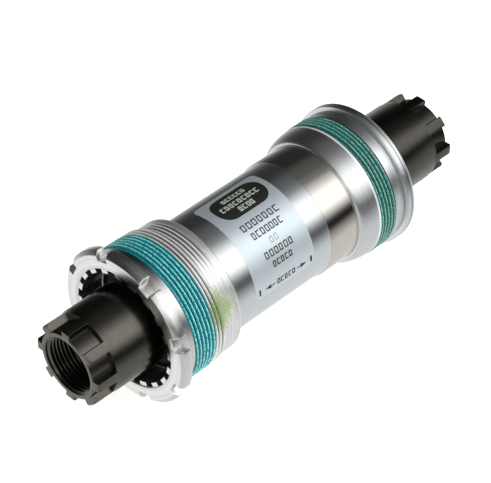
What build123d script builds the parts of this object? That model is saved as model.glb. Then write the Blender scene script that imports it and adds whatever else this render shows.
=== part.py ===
from build123d import *
import math
import os

# Bicycle bottom bracket: sealed bearing cartridge on a hollow splined spindle.
# Frame: the spindle's axis is Y through the origin, its mid-length is at Y = 0,
# the left (non-drive) end is at +Y, the drive side is at -Y, and Z is up.
# Lengths are millimetres. Radii grow outwards from the crank bolt's thread.

# --- Spindle -------------------------------------------------------------------
SPINDLE_LENGTH = 118.5
BOLT_MINOR_R = 7.0          # M15 x 1 crank bolt thread, left plain at its minor radius
BOLT_THREAD_DEPTH = 0.55
BOLT_THREAD_LENGTH = 16.0
BOLT_MOUTH_CHAMFER = 0.6
POCKET_FLOOR_WALL = 1.1     # steel left between the bolt thread and a spline pocket
SPLINE_DEPTH = 1.85
SPLINE_LENGTH = 5.6
SPLINE_COUNT = 8
RIB_ANGLE = 15.0
SPLINE_HEAD_LENGTH = 6.6
SPLINE_HEAD_STEP = 0.2      # the body of the spindle stands this much above its splined heads
SPINDLE_WALL = 2.7
END_CHAMFER = 0.45

# --- Bearings ------------------------------------------------------------------
BALL_R = 1.5875             # 1/8 inch balls
BALL_COUNT = 17
BALL_CLEARANCE = 0.02
GROOVE_DEPTH = 0.5
GROOVE_CONFORMITY = 1.04    # groove radius over ball radius
RACE_SHOULDER = 0.72        # height of a race's shoulder above the ball's centre, in ball radii
RACE_WALL = 0.88            # race steel outside the groove
RACE_SIDE = 1.1             # race land each side of the ball
CAGE_CLEARANCE = 0.1
CAGE_SIDE_WEB = 0.5
CAGE_GAP = 0.35             # cage to spindle and cage to race
NEEDLE_LENGTH = 6.0
NEEDLE_COUNT = 18
NEEDLE_CLEARANCE = 0.015
NEEDLE_SPACE = 0.85         # share of the ball bearing's radial space that a needle takes
NEEDLE_END_WEB = 0.8
NEEDLE_RACE_END = 0.3

# --- Cartridge -----------------------------------------------------------------
SHELL_WIDTH = 70.0          # the frame's shell, Italian standard
DRIVE_SEAT_OFFSET = 34.0    # from mid-spindle to the drive-side flange's seat
AXIAL_GAP = 0.05            # between stacked pieces
TUBE_WALL = 0.8
FLARE_RISE = 0.4
FLARE_LENGTH = 2.0
HOUSING_STEP = 0.45         # the polished housing stands this much above the tube
HOUSING_LENGTH = 21.7
HOUSING_INSET = 1.8         # housing end to flange seat
SPIGOT_LENGTH = 4.5
SPIGOT_WALL = 1.0
SEAL_WIDTH = 1.4
SEAL_SHEET = 0.45
SEAL_SHELL_HEIGHT = 1.5
SEAL_RUNNING_GAP = 0.06
SEAL_RECESS = 0.3
SNAP_RING_WIDTH = 0.8
SNAP_RING_BITE = 0.35       # how far the ring sits in its groove in the wall
SNAP_RING_HEIGHT = 1.2
SNAP_RING_GAP_ANGLE = 34.0
SPACER_WALL = 1.0
SPACER_GAP = 0.05
O_RING_WIRE = 0.9
O_RING_SQUEEZE = 0.12
LABEL_THICKNESS = 0.08
LABEL_FROM_FLARE = 3.5
LABEL_FROM_ADAPTER = 6.6
LABEL_START_ANGLE = 66.0    # from +X towards +Z
LABEL_ARC = 114.0
LABEL_CORNER_R = 1.6

# --- Threads, cup and adapter ----------------------------------------------------
THREAD_PITCH = 25.4 / 24
THREAD_DEPTH = 0.65
THREAD_CREST_FLAT = 0.24
THREAD_ROOT_FLAT = 0.12
SEALANT_FILM = 0.05
SEAT_BORE_CLEARANCE = 0.05  # adapter on the cartridge's tube
ADAPTER_WALL = 2.15         # from the adapter's bore to the root of its thread
TOOL_TEETH = 20
TOOL_TOOTH_DEPTH = 1.05
TOOL_ROOT_STEP = 0.35       # the valleys' radius over the tube's
TOOL_MOUTH_CHAMFER = 0.3
LEFT_FLANGE_GAP = 3.5       # shell face to the back of the left flange
LEFT_FLANGE_WIDTH = 2.8
LEFT_FLANGE_STANDOUT = 2.05
LEFT_FLANGE_CHAMFER = 1.0
LEFT_FACE_WALL = 3.55       # flat front ring outside the valleys
LEFT_THREAD_START = 0.4     # shell face to the first thread, outwards
LEFT_THREAD_RINGS = 9
LEFT_BAND_RINGS = 6
LEFT_LAND_LENGTH = 5.8
LEFT_LAND_DROP = 0.6
LEFT_LAND_GROOVE = 0.25
NECK_DROP = 0.35
NOTCH_COUNT = 8
NOTCH_ANGLE = 10.5
NOTCH_FIRST_ANGLE = 25.0
NOTCH_FLOOR_DROP = 0.3      # the notch floor lies this much inside the crests of the thread
CUP_RIM_WIDTH = 2.6
CUP_RIM_STANDOUT = 0.85
CUP_RIM_ROUND = 0.8
CUP_GROOVE_WIDTH = 0.6
CUP_GROOVE_DEPTH = 0.8
CUP_NECK_LENGTH = 2.7
CUP_BAND_RINGS = 5
CUP_SHOULDER_LENGTH = 5.9
CUP_LIP = 0.35

# --- Radii that follow -----------------------------------------------------------
SPIN = Axis((0, 0, 0), (0, -1, 0))   # turns +X towards +Z
HALF_LENGTH = SPINDLE_LENGTH / 2
BOLT_MAJOR_R = BOLT_MINOR_R + BOLT_THREAD_DEPTH
POCKET_FLOOR_R = BOLT_MAJOR_R + POCKET_FLOOR_WALL
HEAD_R = POCKET_FLOOR_R + SPLINE_DEPTH
SPINDLE_R = HEAD_R + SPLINE_HEAD_STEP
SPINDLE_BORE_R = SPINDLE_R - SPINDLE_WALL
GROOVE_R = BALL_R * GROOVE_CONFORMITY
INNER_GROOVE_R = SPINDLE_R - GROOVE_DEPTH
BALL_CIRCLE_R = INNER_GROOVE_R + BALL_CLEARANCE + BALL_R
OUTER_GROOVE_R = BALL_CIRCLE_R + BALL_R + BALL_CLEARANCE
RACE_LAND_R = BALL_CIRCLE_R + BALL_R * RACE_SHOULDER
TUBE_BORE_R = OUTER_GROOVE_R + RACE_WALL
TUBE_R = TUBE_BORE_R + TUBE_WALL
HOUSING_R = TUBE_R + HOUSING_STEP
ADAPTER_BORE_R = TUBE_R + SEAT_BORE_CLEARANCE
THREAD_R = ADAPTER_BORE_R + ADAPTER_WALL + THREAD_DEPTH
THREAD_ROOT_R = THREAD_R - THREAD_DEPTH
TOOL_ROOT_R = TUBE_R + TOOL_ROOT_STEP
TOOL_TIP_R = TOOL_ROOT_R - TOOL_TOOTH_DEPTH
NEEDLE_R = (OUTER_GROOVE_R - SPINDLE_R) * NEEDLE_SPACE / 2
NEEDLE_CIRCLE_R = SPINDLE_R + NEEDLE_CLEARANCE + NEEDLE_R
NEEDLE_RACE_R = NEEDLE_CIRCLE_R + NEEDLE_R + NEEDLE_CLEARANCE

# --- Stations along Y that follow --------------------------------------------------
DRIVE_SEAT_Y = -DRIVE_SEAT_OFFSET
SHELL_LEFT_Y = DRIVE_SEAT_Y + SHELL_WIDTH
BALL_RACE_WIDTH = 2 * (BALL_R + RACE_SIDE)
NEEDLE_CAGE_WIDTH = NEEDLE_LENGTH + 2 * NEEDLE_END_WEB
NEEDLE_RACE_WIDTH = NEEDLE_CAGE_WIDTH + 2 * NEEDLE_RACE_END

TUBE_LEFT_Y = SHELL_LEFT_Y
LEFT_SEAL_Y = TUBE_LEFT_Y - SEAL_RECESS - SEAL_WIDTH
LEFT_SNAP_Y = LEFT_SEAL_Y - AXIAL_GAP - SNAP_RING_WIDTH
LEFT_RACE_Y = LEFT_SNAP_Y - AXIAL_GAP - BALL_RACE_WIDTH
LEFT_BALL_Y = LEFT_RACE_Y + BALL_RACE_WIDTH / 2

HOUSING_END_Y = DRIVE_SEAT_Y + HOUSING_INSET
HOUSING_FRONT_Y = HOUSING_END_Y + HOUSING_LENGTH
SPIGOT_END_Y = HOUSING_FRONT_Y + SPIGOT_LENGTH
DRIVE_SEAL_Y = HOUSING_END_Y + SEAL_RECESS
DRIVE_SNAP_Y = DRIVE_SEAL_Y + SEAL_WIDTH + AXIAL_GAP
NEEDLE_RACE_Y = DRIVE_SNAP_Y + SNAP_RING_WIDTH + AXIAL_GAP
NEEDLE_Y = NEEDLE_RACE_Y + NEEDLE_RACE_WIDTH / 2
DRIVE_RACE_Y = NEEDLE_RACE_Y + NEEDLE_RACE_WIDTH + AXIAL_GAP
DRIVE_BALL_Y = DRIVE_RACE_Y + BALL_RACE_WIDTH / 2
HOUSING_SHOULDER_Y = DRIVE_RACE_Y + BALL_RACE_WIDTH

LEFT_FLANGE_BACK_Y = SHELL_LEFT_Y + LEFT_FLANGE_GAP
LEFT_FACE_Y = LEFT_FLANGE_BACK_Y + LEFT_FLANGE_WIDTH
LEFT_THREAD_Y = SHELL_LEFT_Y + LEFT_THREAD_START
LEFT_THREAD_END_Y = LEFT_THREAD_Y - LEFT_THREAD_RINGS * THREAD_PITCH
ADAPTER_END_Y = LEFT_THREAD_END_Y - LEFT_LAND_LENGTH

CUP_END_Y = DRIVE_SEAT_Y - CUP_RIM_WIDTH
CUP_NECK_Y = DRIVE_SEAT_Y + CUP_GROOVE_WIDTH
CUP_THREAD_Y = CUP_NECK_Y + CUP_NECK_LENGTH
CUP_THREAD_END_Y = CUP_THREAD_Y + CUP_BAND_RINGS * THREAD_PITCH
CUP_FRONT_Y = CUP_THREAD_END_Y + CUP_SHOULDER_LENGTH
FLARE_Y = HOUSING_FRONT_Y + FLARE_LENGTH
LABEL_LOW_Y = FLARE_Y + LABEL_FROM_FLARE
LABEL_HIGH_Y = ADAPTER_END_Y - LABEL_FROM_ADAPTER


def turned(outline, angle=360.0):
    """Solid of revolution about the spindle's axis from (radius, y) points."""
    face = make_face(Polyline(*outline, close=True))
    return revolve(face, SPIN, angle)


def ring(inner_r, outer_r, y_low, y_high, angle=360.0):
    """Plain ring, or a sector of one that starts at +X and runs towards +Z."""
    return turned([(inner_r, y_low), (outer_r, y_low), (outer_r, y_high), (inner_r, y_high)], angle)


def around(solid, count, first_angle=0.0):
    """Copies of a solid evenly spaced about the spindle's axis."""
    return [solid.rotate(SPIN, first_angle + step * 360.0 / count) for step in range(count)]


def thread_outline(y_start, rings, direction, lift=0.0):
    """Crests and roots of a 60-degree thread, one ring to a pitch, as (radius, y) points."""
    points = [(THREAD_ROOT_R + lift, y_start)]
    for number in range(rings):
        middle = y_start + direction * (number + 0.5) * THREAD_PITCH
        half_crest = direction * THREAD_CREST_FLAT / 2
        half_foot = direction * (THREAD_PITCH - THREAD_ROOT_FLAT) / 2
        points += [
            (THREAD_ROOT_R + lift, middle - half_foot),
            (THREAD_R + lift, middle - half_crest),
            (THREAD_R + lift, middle + half_crest),
            (THREAD_ROOT_R + lift, middle + half_foot),
        ]
    points.append((THREAD_ROOT_R + lift, y_start + direction * rings * THREAD_PITCH))
    return points


def sealant_band(y_start, rings, direction):
    """Film of dried thread sealant that follows the thread's crests and roots."""
    inner = thread_outline(y_start, rings, direction)
    outer = thread_outline(y_start, rings, direction, SEALANT_FILM)
    return turned(inner + outer[::-1])


def tool_valleys(y_low, y_high):
    """Cutters that leave the tool splines standing between them."""
    valley = ring(TOOL_TIP_R - 1, TOOL_ROOT_R, y_low, y_high, 180.0 / TOOL_TEETH)
    return around(valley, TOOL_TEETH)


def ball_groove(y, bottom_r, direction):
    """Torus whose surface is a raceway: direction is +1 on the spindle and -1 in an outer race."""
    circle = make_face(CenterArc((bottom_r + direction * GROOVE_R, y), GROOVE_R, 0, 360))
    return revolve(circle, SPIN, 360.0)


def make_spindle():
    """Hollow spindle with eight ribs at each end and a raceway under each row of balls."""
    body_y = HALF_LENGTH - SPLINE_HEAD_LENGTH
    thread_y = HALF_LENGTH - BOLT_THREAD_LENGTH
    relief_y = thread_y - abs(SPINDLE_BORE_R - BOLT_MINOR_R)
    left_half = [
        (SPINDLE_BORE_R, relief_y),
        (BOLT_MINOR_R, thread_y),
        (BOLT_MINOR_R, HALF_LENGTH - BOLT_MOUTH_CHAMFER),
        (BOLT_MINOR_R + BOLT_MOUTH_CHAMFER, HALF_LENGTH),
        (HEAD_R - END_CHAMFER, HALF_LENGTH),
        (HEAD_R, HALF_LENGTH - END_CHAMFER),
        (HEAD_R, body_y),
        (SPINDLE_R, body_y - 2 * SPLINE_HEAD_STEP),
    ]
    drive_half = [(radius, -y) for radius, y in reversed(left_half)]
    spindle = turned(left_half + drive_half)
    pocket_angle = 360.0 / SPLINE_COUNT - RIB_ANGLE
    for low, high in (
        (HALF_LENGTH - SPLINE_LENGTH, HALF_LENGTH + 1),
        (-HALF_LENGTH - 1, SPLINE_LENGTH - HALF_LENGTH),
    ):
        pocket = ring(POCKET_FLOOR_R, SPINDLE_R + 1, low, high, pocket_angle)
        for cutter in around(pocket, SPLINE_COUNT, RIB_ANGLE / 2):
            spindle -= cutter
    for y in (LEFT_BALL_Y, DRIVE_BALL_Y):
        spindle -= ball_groove(y, INNER_GROOVE_R, 1)
    return spindle


def make_ball_race(y):
    """Outer race of one row of balls, centred at y."""
    half_width = BALL_RACE_WIDTH / 2
    return ring(RACE_LAND_R, TUBE_BORE_R, y - half_width, y + half_width) - ball_groove(y, OUTER_GROOVE_R, -1)


def make_balls(y):
    ball = Pos(BALL_CIRCLE_R, y, 0) * Sphere(BALL_R)
    return around(ball, BALL_COUNT)


def make_ball_cage(y):
    """Cage with one round pocket to a ball."""
    half_width = BALL_R + CAGE_CLEARANCE + CAGE_SIDE_WEB
    cage = ring(SPINDLE_R + CAGE_GAP, RACE_LAND_R - CAGE_GAP, y - half_width, y + half_width)
    bar = Rot(0, 90, 0) * Cylinder(BALL_R + CAGE_CLEARANCE, 2 * BALL_R)
    for cutter in around(Pos(BALL_CIRCLE_R, y, 0) * bar, BALL_COUNT):
        cage -= cutter
    return cage


def make_needles():
    needle = Pos(NEEDLE_CIRCLE_R, NEEDLE_Y, 0) * Rot(90, 0, 0) * Cylinder(NEEDLE_R, NEEDLE_LENGTH)
    return around(needle, NEEDLE_COUNT)


def make_needle_cage():
    """Cage with one long pocket to a needle."""
    half_width = NEEDLE_CAGE_WIDTH / 2
    cage = ring(SPINDLE_R + CAGE_GAP, NEEDLE_RACE_R - CAGE_GAP, NEEDLE_Y - half_width, NEEDLE_Y + half_width)
    window = Box(
        4 * NEEDLE_R,
        NEEDLE_LENGTH + 2 * CAGE_CLEARANCE,
        2 * (NEEDLE_R + CAGE_CLEARANCE),
    )
    for cutter in around(Pos(NEEDLE_CIRCLE_R, NEEDLE_Y, 0) * window, NEEDLE_COUNT):
        cage -= cutter
    return cage


def make_snap_ring(y_low):
    """Open spring ring that sits in a groove of the bore round the bearings."""
    outer_r = TUBE_BORE_R + SNAP_RING_BITE
    return ring(
        outer_r - SNAP_RING_HEIGHT,
        outer_r,
        y_low,
        y_low + SNAP_RING_WIDTH,
        360.0 - SNAP_RING_GAP_ANGLE,
    )


def snap_ring_groove(y_low):
    return ring(TUBE_BORE_R - 1, TUBE_BORE_R + SNAP_RING_BITE, y_low, y_low + SNAP_RING_WIDTH)


def make_seal(y_inner, out):
    """Seal shell and rubber lip; y_inner is the face towards the bearing, out is +1 or -1."""
    y_outer = y_inner + out * SEAL_WIDTH
    sheet = out * SEAL_SHEET
    shell_r = TUBE_BORE_R - SEAL_SHELL_HEIGHT
    shell = turned([
        (TUBE_BORE_R, y_inner),
        (TUBE_BORE_R, y_outer),
        (shell_r, y_outer),
        (shell_r, y_outer - sheet),
        (TUBE_BORE_R - SEAL_SHEET, y_outer - sheet),
        (TUBE_BORE_R - SEAL_SHEET, y_inner),
    ])
    lip_r = SPINDLE_R + SEAL_RUNNING_GAP
    lip = turned([
        (TUBE_BORE_R - SEAL_SHEET, y_inner),
        (TUBE_BORE_R - SEAL_SHEET, y_outer - sheet),
        (shell_r, y_outer - sheet),
        (shell_r, y_outer),
        (lip_r + SEAL_SHEET, y_outer),
        (lip_r, y_outer - sheet / 2),
        (lip_r, y_outer - sheet),
        (lip_r + SEAL_SHEET, y_inner + sheet),
        (lip_r + SEAL_SHEET, y_inner),
    ])
    return shell, lip


def make_tube():
    """Satin cover tube; its drive end flares up to the polished housing."""
    tube = turned([
        (TUBE_BORE_R, TUBE_LEFT_Y),
        (TUBE_R, TUBE_LEFT_Y),
        (TUBE_R, FLARE_Y),
        (TUBE_R + FLARE_RISE, HOUSING_FRONT_Y),
        (TUBE_BORE_R, HOUSING_FRONT_Y),
    ])
    return tube - snap_ring_groove(LEFT_SNAP_Y)


def o_ring_place():
    """Radius and height of the centre of the O-ring on the housing's spigot."""
    return TUBE_BORE_R - O_RING_WIRE / 2 + O_RING_SQUEEZE / 2, HOUSING_FRONT_Y + SPIGOT_LENGTH / 2


def make_housing():
    """Polished bearing housing: a spigot in the cover tube, its other end in the drive cup."""
    housing = turned([
        (TUBE_BORE_R, HOUSING_END_Y),
        (HOUSING_R, HOUSING_END_Y),
        (HOUSING_R, HOUSING_FRONT_Y),
        (TUBE_BORE_R, HOUSING_FRONT_Y),
        (TUBE_BORE_R, SPIGOT_END_Y),
        (TUBE_BORE_R - SPIGOT_WALL, SPIGOT_END_Y),
        (TUBE_BORE_R - SPIGOT_WALL, HOUSING_SHOULDER_Y),
        (TUBE_BORE_R, HOUSING_SHOULDER_Y),
    ])
    _, groove_y = o_ring_place()
    depth = O_RING_WIRE - O_RING_SQUEEZE
    housing -= ring(TUBE_BORE_R - depth, TUBE_BORE_R + 1, groove_y - O_RING_WIRE / 2, groove_y + O_RING_WIRE / 2)
    return housing - snap_ring_groove(DRIVE_SNAP_Y)


def make_o_ring():
    centre_r, y = o_ring_place()
    section = make_face(CenterArc((centre_r, y), (O_RING_WIRE - O_RING_SQUEEZE) / 2, 0, 360))
    return revolve(section, SPIN, 360.0)


def make_spacer():
    """Sleeve that holds the left race apart from the housing's spigot."""
    outer_r = TUBE_BORE_R - SPACER_GAP
    return ring(outer_r - SPACER_WALL, outer_r, SPIGOT_END_Y + AXIAL_GAP, LEFT_RACE_Y - AXIAL_GAP)


def make_label():
    """Thin sticker on the cover tube, with rounded corners."""
    label = ring(TUBE_R, TUBE_R + LABEL_THICKNESS, LABEL_LOW_Y, LABEL_HIGH_Y, LABEL_ARC)
    corner_angle = math.degrees(LABEL_CORNER_R / TUBE_R)
    for y_edge, inwards in ((LABEL_LOW_Y, 1), (LABEL_HIGH_Y, -1)):
        y_centre = y_edge + inwards * LABEL_CORNER_R
        square = ring(TUBE_R - 1, TUBE_R + 1, min(y_edge, y_centre), max(y_edge, y_centre), corner_angle)
        pin = Pos(TUBE_R, y_centre, 0) * Rot(0, 90, 0) * Cylinder(LABEL_CORNER_R, 4)
        label -= square - pin.rotate(SPIN, corner_angle)
        label -= square.rotate(SPIN, LABEL_ARC - corner_angle) - pin.rotate(SPIN, LABEL_ARC - corner_angle)
    return label.rotate(SPIN, LABEL_START_ANGLE)


def make_drive_cup():
    """Fixed cup: rounded shoulder, thread, neck, groove and rim, with tool splines in its mouth."""
    thread = thread_outline(CUP_THREAD_END_Y, CUP_BAND_RINGS, -1)
    thread_root_start = thread[0]
    shoulder = [
        (HOUSING_R, CUP_FRONT_Y),
        (HOUSING_R + CUP_LIP, CUP_FRONT_Y),
    ]
    round_steps = 6
    rise = thread_root_start[0] + THREAD_DEPTH * 0.8 - HOUSING_R - CUP_LIP
    for step in range(1, round_steps + 1):
        turn = math.radians(90.0 * step / round_steps)
        shoulder.append((
            HOUSING_R + CUP_LIP + rise * math.sin(turn),
            CUP_FRONT_Y - CUP_SHOULDER_LENGTH * (1 - math.cos(turn)),
        ))
    rim_r = THREAD_R + CUP_RIM_STANDOUT
    neck_r = THREAD_R - NECK_DROP / 2
    outline = shoulder + thread + [
        (neck_r, CUP_THREAD_Y),
        (neck_r, CUP_NECK_Y),
        (neck_r - CUP_GROOVE_DEPTH, CUP_NECK_Y),
        (neck_r - CUP_GROOVE_DEPTH, DRIVE_SEAT_Y),
        (rim_r, DRIVE_SEAT_Y),
        (rim_r, CUP_END_Y + CUP_RIM_ROUND),
        (rim_r - CUP_RIM_ROUND * 0.3, CUP_END_Y + CUP_RIM_ROUND * 0.3),
        (rim_r - CUP_RIM_ROUND, CUP_END_Y),
        (TOOL_ROOT_R + TOOL_MOUTH_CHAMFER, CUP_END_Y),
        (TOOL_ROOT_R, CUP_END_Y + TOOL_MOUTH_CHAMFER),
        (TOOL_TIP_R, CUP_END_Y + TOOL_MOUTH_CHAMFER),
        (TOOL_TIP_R, HOUSING_END_Y - AXIAL_GAP),
        (HOUSING_R, HOUSING_END_Y - AXIAL_GAP),
    ]
    cup = turned(outline)
    for cutter in tool_valleys(CUP_END_Y, HOUSING_END_Y - AXIAL_GAP):
        cup -= cutter
    return cup


def make_left_adapter():
    """Threaded ring that slips over the cartridge's left end and holds it in the shell."""
    thread = thread_outline(LEFT_THREAD_Y, LEFT_THREAD_RINGS, -1)
    land_r = THREAD_R - LEFT_LAND_DROP
    groove_y = ADAPTER_END_Y + LEFT_LAND_LENGTH / 3
    neck_r = THREAD_R - NECK_DROP
    flange_r = THREAD_R + LEFT_FLANGE_STANDOUT
    seat_y = TUBE_LEFT_Y + AXIAL_GAP
    outline = [
        (ADAPTER_BORE_R, ADAPTER_END_Y),
        (land_r - 2 * LEFT_LAND_GROOVE, ADAPTER_END_Y),
        (land_r, ADAPTER_END_Y + 2 * LEFT_LAND_GROOVE),
        (land_r, groove_y - LEFT_LAND_GROOVE),
        (land_r - LEFT_LAND_GROOVE, groove_y),
        (land_r, groove_y + LEFT_LAND_GROOVE),
        (land_r, LEFT_THREAD_END_Y),
    ]
    outline += thread[::-1]
    outline += [
        (neck_r, LEFT_THREAD_Y),
        (neck_r, LEFT_FLANGE_BACK_Y),
        (flange_r, LEFT_FLANGE_BACK_Y),
        (flange_r, LEFT_FACE_Y - LEFT_FLANGE_CHAMFER),
        (TOOL_ROOT_R + LEFT_FACE_WALL, LEFT_FACE_Y),
        (TOOL_ROOT_R + TOOL_MOUTH_CHAMFER, LEFT_FACE_Y),
        (TOOL_ROOT_R, LEFT_FACE_Y - TOOL_MOUTH_CHAMFER),
        (TOOL_TIP_R, LEFT_FACE_Y - TOOL_MOUTH_CHAMFER),
        (TOOL_TIP_R, seat_y),
        (ADAPTER_BORE_R, seat_y),
    ]
    adapter = turned(outline)
    notch = ring(THREAD_R - NOTCH_FLOOR_DROP, flange_r + 1, LEFT_FLANGE_BACK_Y - 1, LEFT_FACE_Y + 1, NOTCH_ANGLE)
    for cutter in around(notch, NOTCH_COUNT, NOTCH_FIRST_ANGLE - NOTCH_ANGLE / 2):
        adapter -= cutter
    for cutter in tool_valleys(seat_y, LEFT_FACE_Y):
        adapter -= cutter
    return adapter


def save(name, *solids):
    """One STEP to a node; like pieces share a node as separate solids."""
    shape = solids[0] if len(solids) == 1 else Compound(children=list(solids))
    export_step(shape, os.path.join("parts", name + ".step"))


os.makedirs("parts", exist_ok=True)

left_seal_shell, left_seal_lip = make_seal(LEFT_SEAL_Y, 1)
drive_seal_shell, drive_seal_lip = make_seal(DRIVE_SNAP_Y - AXIAL_GAP, -1)

save("spindle", make_spindle())
save("cartridge_tube", make_tube())
save("bearing_housing", make_housing())
save("drive_cup", make_drive_cup())
save("left_adapter", make_left_adapter())
save("left_sealant_band", sealant_band(LEFT_THREAD_Y, LEFT_BAND_RINGS, -1))
save("drive_sealant_band", sealant_band(CUP_THREAD_END_Y, CUP_BAND_RINGS, -1))
save("label", make_label())
save("race_spacer", make_spacer())
save("housing_o_ring", make_o_ring())
for side, ball_y, snap_y in (("left", LEFT_BALL_Y, LEFT_SNAP_Y), ("drive", DRIVE_BALL_Y, DRIVE_SNAP_Y)):
    save(side + "_ball_race", make_ball_race(ball_y))
    save(side + "_balls", *make_balls(ball_y))
    save(side + "_ball_cage", make_ball_cage(ball_y))
    save(side + "_snap_ring", make_snap_ring(snap_y))
save("needle_race", ring(NEEDLE_RACE_R, TUBE_BORE_R, NEEDLE_RACE_Y, NEEDLE_RACE_Y + NEEDLE_RACE_WIDTH))
save("needle_rollers", *make_needles())
save("needle_cage", make_needle_cage())
save("left_seal_shell", left_seal_shell)
save("left_seal_lip", left_seal_lip)
save("drive_seal_shell", drive_seal_shell)
save("drive_seal_lip", drive_seal_lip)
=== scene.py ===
"""Detailed meshes, finishes and studio for a cartridge bottom bracket, built round its CAD frame.

The spindle's axis is Y. Outlines are (radius, y) points in millimetres, turned with bmesh
operators, and each finished mesh is scaled to metres. Angles run from +X towards +Z.
"""

import math
import random

import bmesh
import bpy
from bpy.props import FloatProperty, FloatVectorProperty, IntProperty, PointerProperty
from mathutils import Matrix, Vector, noise


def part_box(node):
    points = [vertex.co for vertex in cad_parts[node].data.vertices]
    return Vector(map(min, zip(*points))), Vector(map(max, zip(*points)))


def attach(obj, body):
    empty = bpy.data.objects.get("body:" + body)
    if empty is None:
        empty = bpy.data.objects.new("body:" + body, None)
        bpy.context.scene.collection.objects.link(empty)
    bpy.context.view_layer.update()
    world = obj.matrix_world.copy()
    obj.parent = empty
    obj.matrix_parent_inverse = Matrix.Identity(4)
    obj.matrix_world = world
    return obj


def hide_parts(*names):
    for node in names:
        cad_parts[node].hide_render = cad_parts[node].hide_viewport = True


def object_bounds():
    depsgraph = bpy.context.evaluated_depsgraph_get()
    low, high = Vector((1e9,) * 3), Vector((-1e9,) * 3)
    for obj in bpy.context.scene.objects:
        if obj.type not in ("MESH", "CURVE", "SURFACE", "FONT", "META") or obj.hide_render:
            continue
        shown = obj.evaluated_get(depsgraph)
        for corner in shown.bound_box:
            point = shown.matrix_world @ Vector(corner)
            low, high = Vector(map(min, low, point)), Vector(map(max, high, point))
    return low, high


bl_info = {
    "name": "Bottom Bracket Studio",
    "version": (1, 0, 0),
    "blender": (4, 5, 0),
    "location": "3D View > Sidebar > Bracket",
    "description": "Builds the detailed pieces and finishes of a cartridge bottom bracket",
    "category": "Mesh",
}

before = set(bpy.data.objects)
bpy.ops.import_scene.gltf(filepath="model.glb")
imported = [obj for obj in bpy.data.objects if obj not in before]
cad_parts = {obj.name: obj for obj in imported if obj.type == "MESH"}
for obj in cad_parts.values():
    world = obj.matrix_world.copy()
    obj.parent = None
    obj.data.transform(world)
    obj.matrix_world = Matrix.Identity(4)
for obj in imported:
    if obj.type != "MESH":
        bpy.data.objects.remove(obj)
cad_low, cad_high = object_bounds()

MM = 0.001
MERGE = 1e-4                # millimetres
SEGMENTS = 240              # steps round the axis, a multiple of the ribs, notches and tool teeth
SPIN_AXIS = (0, -1, 0)
RING_GAP = 0.02             # between two open rings before they are bridged
WAVE = 0.012                # unevenness of the sealant's film
SHELL_PITCH = 25.4 / 24     # of the shell thread, a groove to 1/24 inch
RIB_ANGLE = 15.0            # degrees that a spindle's rib takes
NOTCH_ANGLE = 10.5
NOTCH_FIRST = 24.75         # degrees to the first notch's centre, as the steps round the axis allow


def span(node):
    """Outer radius, lowest Y and highest Y of a CAD node, in millimetres."""
    low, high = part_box(node)
    return max(high.x, -low.x, high.z, -low.z) / MM, low.y / MM, high.y / MM


# --- Properties ------------------------------------------------------------------------


def srgb(hex_code):
    """An sRGB hex colour as linear RGBA."""
    channels = [int(hex_code[place:place + 2], 16) / 255 for place in (1, 3, 5)]
    linear = [c / 12.92 if c <= 0.04045 else ((c + 0.055) / 1.055) ** 2.4 for c in channels]
    return (*linear, 1.0)


def colour(name, description, hex_code):
    return FloatVectorProperty(
        name=name, description=description, subtype="COLOR", size=4, min=0, max=1, default=srgb(hex_code)
    )


def length(name, description, millimetres):
    return FloatProperty(
        name=name, description=description, default=millimetres * MM, min=0, unit="LENGTH", precision=5
    )


class BracketSizes(bpy.types.PropertyGroup):
    """Sizes that a user would change."""

    edge_break: length("Edge break", "Bevel on turned and milled edges", 0.11)
    pitch: length("Shell thread pitch", "Pitch of the 24 TPI shell thread", SHELL_PITCH)
    bolt_pitch: length("Bolt thread pitch", "Pitch of the crank bolt's thread", 1.0)
    film: length("Sealant film", "Thickness of the dried thread sealant", 0.05)
    label_thickness: length("Sticker", "Thickness of the sticker", 0.06)
    ink_thickness: length("Ink", "Thickness of the print on the sticker", 0.012)
    ribs: IntProperty(name="Ribs", description="Ribs on each end of the spindle", default=8, min=1)
    notches: IntProperty(name="Notches", description="Notches in the left flange", default=8, min=1)
    teeth: IntProperty(name="Tool teeth", description="Tool splines in each mouth", default=20, min=1)
    seed: IntProperty(name="Seed", description="Seed of the printed marks", default=7)


class BracketColours(bpy.types.PropertyGroup):
    """Colours that a user would change."""

    oxide: colour("Black oxide", "Spindle", "#6a6860")
    aluminium: colour("Aluminium", "Left adapter", "#f3f4f2")
    zinc: colour("Zinc plate", "Drive cup", "#edf0f1")
    satin: colour("Satin steel", "Cover tube", "#e9eff1")
    polished: colour("Polished steel", "Bearing housing", "#e2ddd6")
    left_sealant: colour("Left sealant", "Sealant on the left thread", "#10808a")
    drive_sealant: colour("Drive sealant", "Sealant on the drive thread", "#266960")
    # Crest colours: partly thin sealant, partly painted highlight.
    left_crest_and_highlight: colour("Left sealant crests", "Thin sealant on the left crests", "#8fe0dc")
    drive_crest_and_highlight: colour("Drive sealant crests", "Thin sealant on the drive crests", "#79ada4")
    smear: colour("Smear", "Yellow-green smear on the adapter", "#6a8030")
    film: colour("Sticker film", "Silver film of the sticker", "#cdd8dd")
    ink: colour("Ink", "Dark print", "#0d0f0c")
    light_ink: colour("Light ink", "Light print on the dark badge", "#8f948c")
    floor: colour("Floor", "Studio floor", "#f3f2ee")


# --- Mesh tools ------------------------------------------------------------------------


def radius_of(point):
    return math.hypot(point.x, point.z)


def angle_of(point):
    return math.degrees(math.atan2(point.z, point.x)) % 360


def set_radius(vert, radius):
    factor = radius / radius_of(vert.co)
    vert.co.x *= factor
    vert.co.z *= factor


def tidy_mesh(bm, distance=MERGE):
    bmesh.ops.remove_doubles(bm, verts=bm.verts[:], dist=distance)
    bmesh.ops.dissolve_degenerate(bm, edges=bm.edges[:], dist=distance)


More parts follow.
